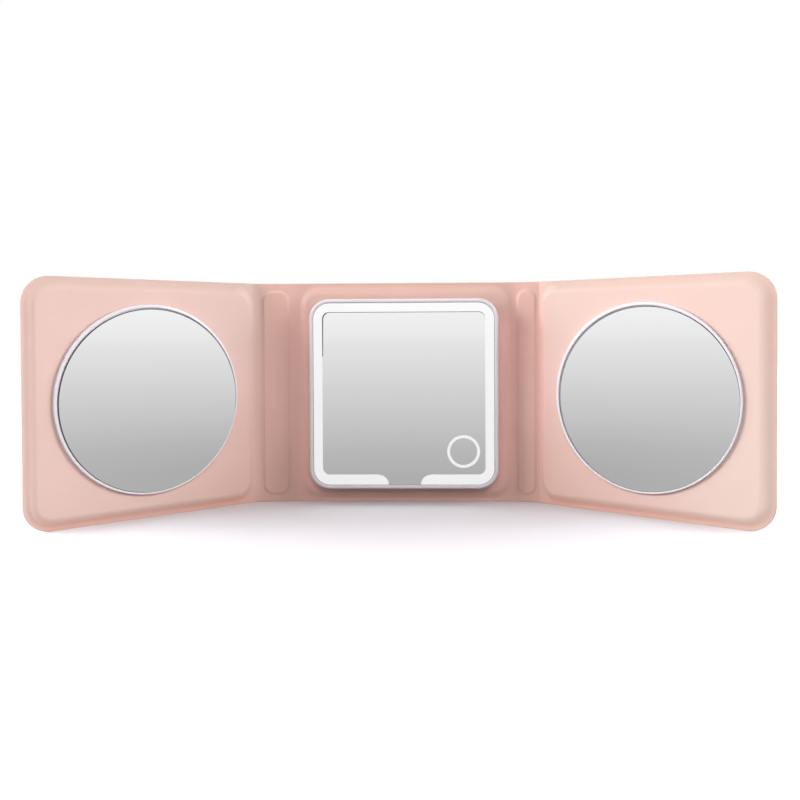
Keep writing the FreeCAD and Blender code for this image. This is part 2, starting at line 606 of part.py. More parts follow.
# ---- the whole part ----
def centre_parts():
    """Every piece of the centre panel and of the lit mirror on it."""
    x0 = -(LEFT.inner_axis - CREASE_HALF_WIDTH)
    x1 = RIGHT.inner_axis - CREASE_HALF_WIDTH
    press = Press(-HALF_CENTRE, HALF_CENTRE, LEFT.inner_slope, RIGHT.inner_slope, PANEL_CORNER_RADIUS)
    liner, cover = panel_skins(x0, x1, [0, 0, 0, 0], press)
    foam, board = panel_inserts(press)
    flex, leds = light_strips()
    print_front = PANE_FRONT - PRINT_THICKNESS
    tape_radius = MODULE_CORNER_RADIUS - MODULE_TAPE_INSET
    return {
        "centre_liner": liner,
        "centre_cover": cover,
        "centre_foam": foam,
        "centre_board": board,
        "module_tape": module_plate(MODULE_TAPE_INSET, tape_radius, SHELL_BACK, PANEL_FRONT),
        "module_shell": module_shell(),
        "module_bezel": module_bezel(),
        "mirror_pane": mirror_pane(),
        "light_band": light_band(print_front, PANE_FRONT),
        "touch_ring": touch_ring(print_front, PANE_FRONT),
        "light_guide": light_sheet(PANE_BACK, GUIDE_BACK),
        "reflector_sheet": light_sheet(GUIDE_BACK, REFLECTOR_BACK),
        "led_flex_strips": flex,
        "led_chips": leds,
        "circuit_board": circuit_board(),
        "circuit_chips": circuit_chips(),
        "battery": battery(),
        "battery_tabs": battery_tabs(),
        "touch_contact": contact_block(PANE_BACK, CIRCUIT_FRONT, 0),
        "charging_socket": charging_socket(),
    }


def side_parts(side):
    """Every piece of one spine and one wing."""
    liner, cover, filling = spine_parts(side)
    spine = {"spine_liner": liner, "spine_cover": cover, "spine_pad": filling,
             "outer_crease": crease(side.outer_axis, side.outer_fold)}
    x0 = side.outer_axis + CREASE_HALF_WIDTH
    press = Press(side.panel_start, side.panel_end, side.outer_slope, side.side_slope, PANEL_CORNER_RADIUS)
    radii = [0, CASE_CORNER_RADIUS, CASE_CORNER_RADIUS, 0]
    liner, cover = panel_skins(x0, side.free_edge, radii, press)
    foam, board = panel_inserts(press)
    tape, tray, glass = round_mirror(side)
    wing = {"wing_liner": liner, "wing_cover": cover, "wing_foam": foam,
            "wing_board": board.cut(magnets(side, BOARD_THICKNESS, INSERT_CLEARANCE)),
            "wing_magnets": Part.makeCompound(magnets(side, MAGNET_THICKNESS, 0)),
            "mirror_tape": tape, "mirror_tray": tray, "round_glass": glass}
    placed = {side.name + "_inner_crease": on_side(crease(side.inner_axis, side.inner_fold), side)}
    for name, shape in spine.items():
        placed[side.name + "_" + name] = on_spine(shape, side)
    for name, shape in wing.items():
        placed[side.name + "_" + name] = on_wing(shape, side)
    return placed


def main():
    """Write one STEP file for each piece."""
    os.makedirs("parts", exist_ok=True)
    parts = centre_parts()
    parts.update(side_parts(LEFT))
    parts.update(side_parts(RIGHT))
    for name, shape in parts.items():
        shape.exportStep(os.path.join("parts", name + ".step"))


main()
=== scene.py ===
import json
import math

import bmesh
import bpy
import numpy as np
from mathutils import Matrix, Vector


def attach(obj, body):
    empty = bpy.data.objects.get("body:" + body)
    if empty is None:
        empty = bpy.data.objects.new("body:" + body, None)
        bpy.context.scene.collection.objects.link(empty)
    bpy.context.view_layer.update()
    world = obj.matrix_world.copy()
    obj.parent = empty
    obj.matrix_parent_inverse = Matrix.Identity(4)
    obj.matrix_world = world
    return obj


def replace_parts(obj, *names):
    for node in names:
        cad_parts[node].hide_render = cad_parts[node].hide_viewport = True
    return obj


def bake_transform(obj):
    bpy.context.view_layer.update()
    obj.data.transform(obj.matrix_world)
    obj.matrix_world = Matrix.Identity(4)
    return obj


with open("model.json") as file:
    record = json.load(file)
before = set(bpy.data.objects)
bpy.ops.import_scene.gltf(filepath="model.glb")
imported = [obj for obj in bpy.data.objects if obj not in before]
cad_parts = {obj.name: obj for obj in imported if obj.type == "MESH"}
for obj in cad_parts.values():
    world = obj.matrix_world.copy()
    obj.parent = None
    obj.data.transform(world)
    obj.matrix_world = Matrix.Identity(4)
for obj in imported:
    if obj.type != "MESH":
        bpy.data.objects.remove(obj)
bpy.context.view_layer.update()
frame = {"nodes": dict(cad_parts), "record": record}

# A trifold vanity mirror that stands open on its bottom edges: a case of heat-pressed leather, a lit
# square mirror on its centre panel and a round mirror on each wing.
#
# The case is worked out lying flat and is then folded. In the flat, u runs outwards from the middle
# of the centre panel, z runs up from the bottom edge, and a height is measured ahead of the line
# where the front and back skins meet. Sizes are millimetres and angles are degrees, unless a comment
# says otherwise. A pressed edge is a pair, its shoulder and its foot: how far out from the outline
# its slope starts and ends.
MM = 0.001

# ---- leather case ----
CASE_HEIGHT = 105.0
HALF_CENTRE = 48.6              # half the width of the centre panel
WING_PANEL = 97.8               # width of a wing's panel
END_RIM = 4.2                   # from a panel to the case's top and bottom edges
CASE_CORNER = 11.3              # radii of the corners
PANEL_CORNER = 7.4
PAD_CORNER = 4.4
SKIN = 0.6
PANEL_RISE = 1.4                # front of a padded panel ahead of the bare skin
PAD_RISE = 0.5                  # front of a spine pad ahead of the bare skin
BACK_RISE = 0.4                 # back of a padded panel behind the bare skin
PANEL_ENDS = (-1.6, 3.4)        # pressed edges along the tops and bottoms of the panels
PAD_EDGES = (-0.5, 1.1)         # pressed edges all round a pad
PAD_SLOPE = 0.8                 # a pad's outline lies this far inside its room between the folds
PAD_END_FLAT = 0.05             # least straight run from a pad's corner to its middle line
GROOVE_DEPTH = 0.1              # groove between a pad and the wing
GROOVE_WIDTH = 0.45
GROOVE_END = 3.0                # the groove starts this far from the case's ends, and deepens over as much
PANEL_FRONT = SKIN + PANEL_RISE

# cut edge of the case: distance in from the outline, and height ahead of the line between the skins
EDGE_PROFILE = ((0.25, 0.60), (0.14, 0.575), (0.05, 0.50), (0.0, 0.40), (0.0, 0.10), (0.07, 0.03))

# ---- grid of the leather: fine where it is pressed or bends, coarse where it is flat ----
ROW_SLOPES = 0.115              # share of the height that the pressed rows take at the top and bottom
ROW_FINE = 0.0028               # steps as shares of the height
ROW_COARSE = 0.028
BEND_STEP = 0.12
PAD_STEP = 0.25
SLOPE_STEP = 0.3
BESIDE_STEP = 0.5
FLAT_STEP = 2.6
CENTRE_FLAT = 38.0              # the centre panel is flat up to here
CENTRE_SLOPE = 9.0              # room that the slopes take beside a panel's edges
FOLD_SLOPE = 9.0
FREE_SLOPE = 8.0
CORNER_STEPS = 40               # round a corner of the case

# ---- tones of the front skin, as shares of the wings' own red, green and blue; most are painted light and shade ----
# painted shade: the centre panel and spines redder and darker, as where the wings shade them and bounce pink
# light on them
CENTRE_PAINTED_SHADE = (1.07, 0.93, 0.90)        # centre panel and spines
# painted shade: the strip above the square mirror darker
STRIP_PAINTED_SHADE = (0.80, 0.84, 0.83)         # strip above the square mirror
# painted shade: the pads darker towards their lower ends
PAD_FOOT_PAINTED_SHADE = (0.88, 0.89, 0.87)      # lower ends of the pads
# painted shade: the wings' corners by the folds darker, low and high
FOLD_PAINTED_SHADE = (1.0, 0.94, 0.91)           # lower corners of the wings, beside the folds
FOLD_TOP_PAINTED_SHADE = (0.89, 0.92, 0.91)      # upper corners there
# painted shade: the pressed rims along the wings' bottoms darker and redder
BOTTOM_RIM_PAINTED_SHADE = (0.99, 0.84, 0.78)        # pressed rims along the wings' bottoms
TOP_TONE = (0.885, 0.895, 0.86)         # pressed rims along their tops

# where a tone sets in and where it is full: in u, in z, or in distance from a wing panel's outline
CENTRE_ACROSS = (74.0, 62.0)
STRIP_ACROSS = (58.0, 46.0)
STRIP_UP = (82.0, 97.0)
STRIP_ON_SPINE = 0.4            # share of the strip's tone that reaches over the spines
FOOT_ACROSS = (50.0, 57.0)
FOOT_DOWN = (50.0, 12.0)
FOLD_REACH = 55.0               # from the wing panel's edge by the fold
FOLD_DOWN = (70.0, 10.0)
FOLD_UP = (55.0, 95.0)
FAR_FROM = 40.0                 # from the same edge
FAR_DOWN = (90.0, 10.0)
FAR_AT_TOP = 0.5                # share of the far tone that reaches the top
RIM_AWAY = (-1.4, 2.2)

# which side of a wing's panel a fine pressed line follows
FOLD_SIDE, FREE_SIDE = -1, 1


class Side:
    """One side of the flat case, drawn as if it were the right one: u of its fold axes, pad and wing,
    how its edges were pressed, and the painted light and shade on its wing."""

    def __init__(self, name, sign, gaps, spine, rim, folds, creases, groove, edges, lines, free_tone,
                 free_away, far_painted_light):
        to_axis, to_pad, from_pad, to_wing = gaps
        self.name = name
        self.sign = sign                                        # of x
        self.inner = HALF_CENTRE + to_axis                      # fold axes, a spine's width apart
        self.outer = self.inner + spine
        self.pad = (self.inner + to_pad, self.outer - from_pad)
        self.panel = self.outer + to_wing                       # the wing's panel starts here
        self.free_edge = self.panel + WING_PANEL + rim
        self.inner_fold, self.outer_fold = folds                # fold angles at rest
        self.inner_crease, self.outer_crease = creases          # half widths of the creases
        self.groove = self.outer - groove                       # before the outer fold axis
        self.centre_edge, self.fold_edge, self.side_edge = edges    # pressed edges of the two panels
        self.lines = lines                                      # which side, distance out, width, height
        # painted light and shade at the wing's free side: lighter on the left wing's rim, darker on the right
        # wing's
        self.free_tone, self.free_away = free_tone, free_away   # of the wing's rim at its free side
        # painted light: the wing's outer half lighter, more so low down
        self.far_painted_light = far_painted_light                                # of the wing's outer half


LEFT = Side(
    "left", sign=-1, gaps=(5.3, 1.7, 3.7, 3.4), spine=18.498, rim=4.7, folds=(5.0, 35.4), creases=(1.0, 2.5),
    groove=2.498, edges=((-1.4, 2.4), (-1.5, 2.4), (-1.1, 4.6)),
    lines=((FREE_SIDE, 0.6, 0.6, -0.08), (FREE_SIDE, 2.2, 0.7, 0.14), (FOLD_SIDE, -0.9, 0.8, 0.07)),
    free_tone=(1.04, 1.02, 1.01), free_away=(0.2, 2.0), far_painted_light=(1.05, 1.07, 1.07))
RIGHT = Side(
    "right", sign=1, gaps=(3.0, 1.9, 1.4, 2.6), spine=12.8, rim=5.4, folds=(14.3, 22.3), creases=(1.5, 1.0),
    groove=-0.1, edges=((-1.2, 2.0), (-0.7, 1.8), (-1.4, 5.2)),
    lines=((FOLD_SIDE, -0.4, 0.7, 0.06),),
    free_tone=(0.86, 0.82, 0.80), free_away=(0.2, 3.8), far_painted_light=(1.03, 1.14, 1.13))


# ---------------------------------------------------------------- meshes
MERGE_WITHIN = 2e-7             # metres
NO_LENGTH = 1e-7                # metres
SHARP_FROM = 38


def new_piece(name, points, quads, uv=None, tone=None, caps=()):
    """Mesh object from points in millimetres, a quad index array and a few larger faces; doubles are
    merged and the faces of the closed shell are turned outwards."""
    mesh = bpy.data.meshes.new(name)
    faces = [tuple(quad) for quad in quads.tolist()] + [tuple(cap) for cap in caps]
    mesh.from_pydata((points * MM).tolist(), [], faces)
    if uv is not None:
        layer = mesh.uv_layers.new(name="flat")
        index = np.empty(len(mesh.loops), np.int32)
        mesh.loops.foreach_get("vertex_index", index)
        layer.data.foreach_set("uv", (uv[index] * MM).astype(np.float32).ravel())
        # the tone attribute carries the painted light and shade of the leather's front skin
        shade = mesh.attributes.new("tone", "FLOAT_VECTOR", "POINT")
        shade.data.foreach_set("vector", tone.astype(np.float32).ravel())
    shell = bmesh.new()
    shell.from_mesh(mesh)
    bmesh.ops.remove_doubles(shell, verts=shell.verts, dist=MERGE_WITHIN)
    bmesh.ops.dissolve_degenerate(shell, edges=shell.edges, dist=NO_LENGTH)
    bmesh.ops.recalc_face_normals(shell, faces=shell.faces)
    shell.to_mesh(mesh)
    shell.free()
    mesh.shade_smooth()
    mesh.set_sharp_from_angle(angle=math.radians(SHARP_FROM))
    piece = bpy.data.objects.new(name, mesh)
    bpy.context.scene.collection.objects.link(piece)
    return piece


def grid_quads(rows, columns, start=0, round_rows=False, round_columns=False):
    """Quad indices of a grid of rows x columns points, whose last row or column may be joined to the
    first."""
    i = np.arange(rows if round_rows else rows - 1)[:, None]
    j = np.arange(columns if round_columns else columns - 1)[None, :]
    below = (i + 1) % rows * columns
    after = (j + 1) % columns
    corners = (i * columns + j, i * columns + after, below + after, below + j)
    return np.stack([corner + start for corner in corners], -1).reshape(-1, 4)


def steps(start, *runs):
    """Values from start through each (end, step), evenly spaced in each run."""
    parts = [np.array([start])]
    for end, step in runs:
        count = max(int(math.ceil(abs(end - parts[-1][-1]) / step)), 1)
        parts.append(np.linspace(parts[-1][-1], end, count + 1)[1:])
    return np.concatenate(parts)


def smooth(value, start, end):
    """Smooth step from 0 at start to 1 at end, whichever of them is the greater."""
    share = np.clip((value - start) / (end - start), 0, 1)
    return share * share * (3 - 2 * share)


# ---------------------------------------------------------------- the pressed and folded case
def pressed(u, z, start, end, start_edge, end_edge, ends, corner):
    """Share of its rise that a pressed area has at u, z; the distance from its outline; and the share of
    side against end there. The outline is a rounded rectangle from start to end. The first share falls
    from shoulder to foot along a half cosine, and round a corner both change smoothly from side to end."""
    tiny = 1e-12                # keeps the flat middle from dividing by zero
    bottom, top = END_RIM, CASE_HEIGHT - END_RIM
    first_half = u < (start + end) / 2
    past_u = np.where(first_half, start + corner - u, u - end + corner)
    past_z = np.maximum(bottom + corner - z, z - top + corner)
    out_u, out_z = np.maximum(past_u, 0), np.maximum(past_z, 0)
    away = np.hypot(out_u, out_z) + np.minimum(np.maximum(past_u, past_z), 0) - corner
    side_share = out_u ** 2 / (out_u ** 2 + out_z ** 2 + tiny)
    shoulder = np.where(first_half, start_edge[0], end_edge[0]) * side_share + ends[0] * (1 - side_share)
    foot = np.where(first_half, start_edge[1], end_edge[1]) * side_share + ends[1] * (1 - side_share)
    down = np.clip((away - shoulder) / (foot - shoulder), 0, 1)
    return 0.5 + 0.5 * np.cos(math.pi * down), away, side_share


def wing_panel(side, u, z):
    """The wing's panel as a pressed area."""
    return pressed(u, z, side.panel, side.panel + WING_PANEL, side.fold_edge, side.side_edge, PANEL_ENDS,
                   PANEL_CORNER)


def heights(side, u, z):
    """Front and back height of the leather at flat coordinates u, z: the skin, the rises of the centre
    panel, the wing's panel and the pad, fine lines that follow the wing panel's sides as bell curves of
    the distance from its outline, and a groove that is a bell curve across u."""
    centre = pressed(u, z, -HALF_CENTRE, HALF_CENTRE, side.centre_edge, side.centre_edge, PANEL_ENDS,
                     PANEL_CORNER)[0]
    wing, away, side_share = wing_panel(side, u, z)
    front = SKIN + PANEL_RISE * centre + PANEL_RISE * wing
    nearer_side = np.sign(u - side.panel - WING_PANEL / 2)
    for followed_side, place, width, height in side.lines:
        line = np.exp(-((away - place) / width) ** 2)
        front = front + height * side_share * (nearer_side == followed_side) * line
    groove_ends = (np.clip((z - GROOVE_END) / GROOVE_END, 0, 1)
                   * np.clip((CASE_HEIGHT - GROOVE_END - z) / GROOVE_END, 0, 1))
    front = front - GROOVE_DEPTH * groove_ends * np.exp(-((u - side.groove) / GROOVE_WIDTH) ** 2)
    pad_start, pad_end = side.pad[0] + PAD_SLOPE, side.pad[1] - PAD_SLOPE
    corner = min(PAD_CORNER, (pad_end - pad_start) / 2 - PAD_END_FLAT)
    pad = pressed(u, z, pad_start, pad_end, PAD_EDGES, PAD_EDGES, PAD_EDGES, corner)[0]
    return front + PAD_RISE * pad, SKIN + BACK_RISE * centre + BACK_RISE * wing


def painted_light_tones(side, u, z):
    """Colour of the front skin at u, z as shares of the wings' own: the product of the tones, each as far
    as it reaches there. Most of it is painted light and shade: painted shade on the centre, the spines, the
    strip above the square mirror, the pads' lower ends, the wings' corners by the folds and their bottom
    rims; painted light on the wings' outer halves; and at the free side's rim painted light on the left
    wing and painted shade on the right. The top rims are darker too."""
    _, away, side_share = wing_panel(side, u, z)
    centre = smooth(u, *CENTRE_ACROSS)
    strip = centre * smooth(z, *STRIP_UP) * (STRIP_ON_SPINE + (1 - STRIP_ON_SPINE) * smooth(u, *STRIP_ACROSS))
    foot = centre * smooth(u, *FOOT_ACROSS) * smooth(z, *FOOT_DOWN)
    fold = smooth(u, side.panel + FOLD_REACH, side.panel) * (1 - centre)
    far = (smooth(u, side.panel + FAR_FROM, side.panel + WING_PANEL)
           * (FAR_AT_TOP + (1 - FAR_AT_TOP) * smooth(z, *FAR_DOWN)))
    free = smooth(away, *side.free_away) * side_share * (u > side.panel + WING_PANEL / 2)
    rim = smooth(away, *RIM_AWAY) * (1 - side_share) * (1 - centre)
    lower_half = z < CASE_HEIGHT / 2
    shades = ((centre, CENTRE_PAINTED_SHADE), (strip, STRIP_PAINTED_SHADE), (foot, PAD_FOOT_PAINTED_SHADE),
              (fold * smooth(z, *FOLD_DOWN), FOLD_PAINTED_SHADE), (fold * smooth(z, *FOLD_UP), FOLD_TOP_PAINTED_SHADE),
              (far, side.far_painted_light), (free, side.free_tone), (rim * lower_half, BOTTOM_RIM_PAINTED_SHADE),
              (rim * ~lower_half, TOP_TONE))
    return math.prod(1 - reach[..., None] * (1 - np.array(full)) for reach, full in shades)


def bend(x, y, u, axis, angle, crease):
    """Turn what lies beyond a fold axis forwards, and lay the crease itself on an arc that runs flush
    into the flats on both sides."""
    turned = math.radians(angle)
    radius = crease / math.tan(turned / 2)
    turn = np.clip((u - axis + crease) / (2 * crease), 0, 1) * turned
    arc_x = axis - crease + (radius + y) * np.sin(turn)
    arc_y = -radius + (radius + y) * np.cos(turn)
    far_x = axis + (x - axis) * math.cos(turned) + y * math.sin(turned)
    far_y = -(x - axis) * math.sin(turned) + y * math.cos(turned)
    beyond = u > axis + crease
    before = u < axis - crease
    return (np.where(before, x, np.where(beyond, far_x, arc_x)),
            np.where(before, y, np.where(beyond, far_y, arc_y)))


def folded(side, u, height, z):
    """Points of the folded case for flat coordinates u, z and a height: the outer fold is made first,
    then the inner one."""
    u, height, z = np.broadcast_arrays(np.asarray(u, float), height, z)
    x, y = bend(u, -height, u, side.outer, side.outer_fold, side.outer_crease)
    x, y = bend(x, y, u, side.inner, side.inner_fold, side.inner_crease)
    return np.stack([side.sign * x, y, z], -1)


def outline(columns, turn, distance):
    """u and lowest z of every column, on the case's outline drawn in by a distance. The columns with a
    turn, in radians, go round the corner."""
    radius = CASE_CORNER - distance
    return columns + radius * np.sin(turn), CASE_CORNER - radius * np.cos(turn)


def leather(side, name, columns, free_end):
    """One length of the padded leather as a closed shell: a front grid and a back grid of heights over
    the flat outline, joined by the cut edge's profile carried round the outline."""
    turn = np.zeros(len(columns))
    if free_end:
        columns = np.concatenate([columns, np.full(CORNER_STEPS, columns[-1])])
        turn = np.concatenate([turn, np.linspace(0, math.pi / 2, CORNER_STEPS + 1)[1:]])
    points, flat, tone, quads = [], [], [], []

    def add_grid(u, height, z, v, shade):
        """Add a grid of points, with v its place up the flat hide, and give the first one's index."""
        start = sum(len(grid) for grid in points)
        points.append(folded(side, u, height, z).reshape(-1, 3))
        flat.append(np.stack([u, v], -1).reshape(-1, 2))
        tone.append(shade.reshape(-1, 3))
        quads.append(grid_quads(*u.shape, start))
        return start

    share = steps(0, (ROW_SLOPES, ROW_FINE), (1 - ROW_SLOPES, ROW_COARSE), (1, ROW_FINE))
    u_rim, low = outline(columns, turn, EDGE_PROFILE[0][0])
    u = np.repeat(u_rim[:, None], len(share), 1)
    z = low[:, None] + share[None, :] * (CASE_HEIGHT - 2 * low[:, None])
    front, back = heights(side, u, z)
    front_start = add_grid(u, front, z, z, painted_light_tones(side, u, z))
    back_start = add_grid(u, -back, z, z, np.ones((*u.shape, 3)))

    profile = EDGE_PROFILE + tuple((distance, -height) for distance, height in reversed(EDGE_PROFILE))
    distance, height = np.array(profile).T[:, :, None]
    edge_u, edge_z = outline(columns, turn, distance)
    if free_end:
        side_u = np.repeat(edge_u[:, -1:], len(share) - 2, 1)
        side_z = np.repeat(z[-1:, 1:-1], len(profile), 0)
        edge_u = np.hstack([edge_u, side_u, edge_u[:, ::-1]])
        edge_z = np.hstack([edge_z, side_z, CASE_HEIGHT - edge_z[:, ::-1]])
    height = np.repeat(height, edge_u.shape[1], 1)
    caps = []
    for up in (edge_z,) if free_end else (edge_z, CASE_HEIGHT - edge_z):
        shade = np.where(height[..., None] > 0, painted_light_tones(side, edge_u, up), 1.0)
        start = add_grid(edge_u, height, up, up + height, shade)
        place = start + np.arange(len(profile)) * edge_u.shape[1]
        caps += [place.tolist(), (place + edge_u.shape[1] - 1).tolist()]

    for row in (0,) if free_end else (0, len(columns) - 1):
        along = row * len(share) + np.arange(len(share) - 1)
        quads.append(np.stack([front_start + along, front_start + along + 1, back_start + along + 1,
                               back_start + along], -1))
    return new_piece(name, np.concatenate(points), np.concatenate(quads), np.concatenate(flat),
                     np.concatenate(tone), caps)


# ---------------------------------------------------------------- frames, lines and round solids
def rounded_path(left, right, bottom, top, corner, per_corner=14):
    """Closed rounded rectangle and its outward directions, anticlockwise from the bottom right corner."""
    turn = np.linspace(0, math.pi / 2, per_corner)
    angle = np.concatenate([turn + quarter * math.pi / 2 for quarter in (-1, 0, 1, 2)])
    centre_x = np.repeat([right - corner, right - corner, left + corner, left + corner], per_corner)
    centre_z = np.repeat([bottom + corner, top - corner, top - corner, bottom + corner], per_corner)
    out = np.stack([np.cos(angle), np.sin(angle)], -1)
    return np.stack([centre_x, centre_z], -1) + corner * out, out


def carried(name, path, out, profile):
    """A closed profile of (distance outwards, height ahead) carried round a closed path; each may be one
    number or one for each point of the path."""
    distance, height = (np.array([np.broadcast_to(value, len(path)) for value in values], float)
                        for values in zip(*profile))
    place = path[None] + distance[..., None] * out[None]
    points = np.stack([place[..., 0], -height, place[..., 1]], -1)
    quads = grid_quads(*height.shape, round_rows=True, round_columns=True)
    return new_piece(name, points.reshape(-1, 3), quads)


def turned_solid(side, name, profile, segments=192):
    """Rings of (radius, height, shift) about the round mirror's own axis on a wing, each moved by its
    shift to the viewer's right and by as much down: the opening and the glass sit a few tenths off."""
    radius, height, shift = np.array(profile, float).T[:, :, None]
    angle = np.linspace(0, 2 * math.pi, segments, endpoint=False)
    u = side.panel + RING_FROM_PANEL + radius * np.cos(angle) + side.sign * shift
    z = RING_HEIGHT + radius * np.sin(angle) - shift
    points = folded(side, u, np.repeat(height, segments, 1), z).reshape(-1, 3)
    return new_piece(name, points, grid_quads(len(profile), segments, round_columns=True))


def round_edge(x, y, radius, first, last, count=7):
    """Points of a quarter turn about (x, y), from the first angle to the last."""
    angle = np.radians(np.linspace(first, last, count))
    return [(x + radius * math.cos(a), y + radius * math.sin(a)) for a in angle]


# ---------------------------------------------------------------- materials
def colour(text):
    """Linear colour of an sRGB hex value."""
    values = [int(text[k:k + 2], 16) / 255 for k in (0, 2, 4)]
    return [v / 12.92 if v <= 0.04045 else ((v + 0.055) / 1.055) ** 2.4 for v in values] + [1.0]


def add(tree, kind, inputs=(), **settings):
    """Add a node, set its properties, and set or link its inputs."""
    made = tree.nodes.new(kind)
    for key, value in settings.items():
        setattr(made, key, value)
    for key, value in dict(inputs).items():
        if isinstance(value, bpy.types.NodeSocket):
            tree.links.new(value, made.inputs[key])
        else:
            made.inputs[key].default_value = value
    return made


def material(name):
    """Empty material, and its tree."""
    made = bpy.data.materials.new(name)
    made.use_nodes = True
    made.node_tree.nodes.clear()
    return made, made.node_tree


def finish_material(made, tree, shader):
    """Link the surface shader to the output."""
    add(tree, "ShaderNodeOutputMaterial", {"Surface": shader.outputs[0]})
    return made


def pressed_leather():
    """Heat-pressed matt leather: a fine pebbled grain half a millimetre across, flattened by the press,
    with a slow change of tone over a few centimetres and a soft, wide gloss. The tone attribute
    multiplies in the painted light and shade of the front skin."""
    pebble_size = 0.55 * MM
    pore_size = 0.22 * MM
    slow_size = 26.3 * MM
    grain_height = 0.06 * MM
    made, tree = material("heat_pressed_leather")
    flat = add(tree, "ShaderNodeUVMap", uv_map="flat").outputs[0]
    slow = add(tree, "ShaderNodeTexNoise", {"Vector": flat, "Scale": 1 / slow_size, "Detail": 3.0,
                                            "Roughness": 0.5})
    pebble = add(tree, "ShaderNodeTexVoronoi", {"Vector": flat, "Scale": 1 / pebble_size, "Smoothness": 0.7},
                 feature="SMOOTH_F1")
    pores = add(tree, "ShaderNodeTexNoise", {"Vector": flat, "Scale": 1 / pore_size, "Detail": 2.0})
    plain = add(tree, "ShaderNodeMix", {"Factor": slow.outputs["Fac"], "A": colour("E5C2B8"),
                                        "B": colour("EAC8BF")}, data_type="RGBA").outputs["Result"]
    # painted light and shade from the tone attribute, multiplied into the colour
    painted_light_and_shade = add(tree, "ShaderNodeAttribute", attribute_name="tone").outputs["Vector"]
    tone = add(tree, "ShaderNodeMix", {"Factor": 1.0, "A": plain, "B": painted_light_and_shade}, data_type="RGBA",
               blend_type="MULTIPLY")
    grain = add(tree, "ShaderNodeMath", {0: pebble.outputs["Distance"], 1: pores.outputs["Fac"]},
                operation="ADD")
    gloss = add(tree, "ShaderNodeMapRange", {"Value": grain.outputs[0], "From Min": 0.2, "From Max": 1.4,
                                             "To Min": 0.47, "To Max": 0.58})
    bump = add(tree, "ShaderNodeBump", {"Height": grain.outputs[0], "Strength": 0.4,
                                        "Distance": grain_height})
    shader = add(tree, "ShaderNodeBsdfPrincipled",
                 {"Base Color": tone.outputs["Result"], "Roughness": gloss.outputs[0],
                  "Normal": bump.outputs[0], "IOR": 1.45, "Specular IOR Level": 0.4, "Sheen Weight": 0.12,
                  "Sheen Roughness": 0.5})
    return finish_material(made, tree, shader)


def surface(name, shade, deep, roughness, texture_mm, coat=0.0, metallic=0.0, glow=0.0, bump_strength=0.05):
    """A made surface with a fine texture at a real size: moulded plastic, film, foam, board or metal."""
    unevenness = 0.1            # of the gloss, as a share of the roughness
    texture_height = 0.04 * MM
    made, tree = material(name)
    place = add(tree, "ShaderNodeTexCoord").outputs["Object"]
    fine = add(tree, "ShaderNodeTexNoise", {"Vector": place, "Scale": 1 / (texture_mm * MM), "Detail": 2.0})
    tone = add(tree, "ShaderNodeMix", {"Factor": fine.outputs["Fac"], "A": colour(shade), "B": colour(deep)},
               data_type="RGBA")
    gloss = add(tree, "ShaderNodeMapRange", {"Value": fine.outputs["Fac"],
                                             "To Min": roughness * (1 - unevenness),
                                             "To Max": roughness * (1 + unevenness)})
    bump = add(tree, "ShaderNodeBump", {"Height": fine.outputs["Fac"], "Strength": bump_strength,
                                        "Distance": texture_height})
    inputs = {"Base Color": tone.outputs["Result"], "Roughness": gloss.outputs[0], "Normal": bump.outputs[0],
              "Metallic": metallic, "Coat Weight": coat, "Coat Roughness": 0.08}
    if glow:
        inputs["Emission Color"] = colour("FFFFFF")
        inputs["Emission Strength"] = glow
    return finish_material(made, tree, add(tree, "ShaderNodeBsdfPrincipled", inputs))


def silvered_glass():
    """Back-silvered float glass: an almost perfect reflection, a trace greyer than the light, with a
    faint unevenness of the wiped face, a centimetre or two across."""
    wiped_size = 16.67 * MM
    made, tree = material("silvered_float_glass")
    place = add(tree, "ShaderNodeTexCoord").outputs["Object"]
    wiped = add(tree, "ShaderNodeTexNoise", {"Vector": place, "Scale": 1 / wiped_size, "Detail": 3.0})
    gloss = add(tree, "ShaderNodeMapRange", {"Value": wiped.outputs["Fac"], "To Min": 0.004, "To Max": 0.02})
    shader = add(tree, "ShaderNodeBsdfPrincipled", {"Base Color": colour("FBFBFC"), "Metallic": 1.0,
                                                    "Roughness": gloss.outputs[0]})
    return finish_material(made, tree, shader)


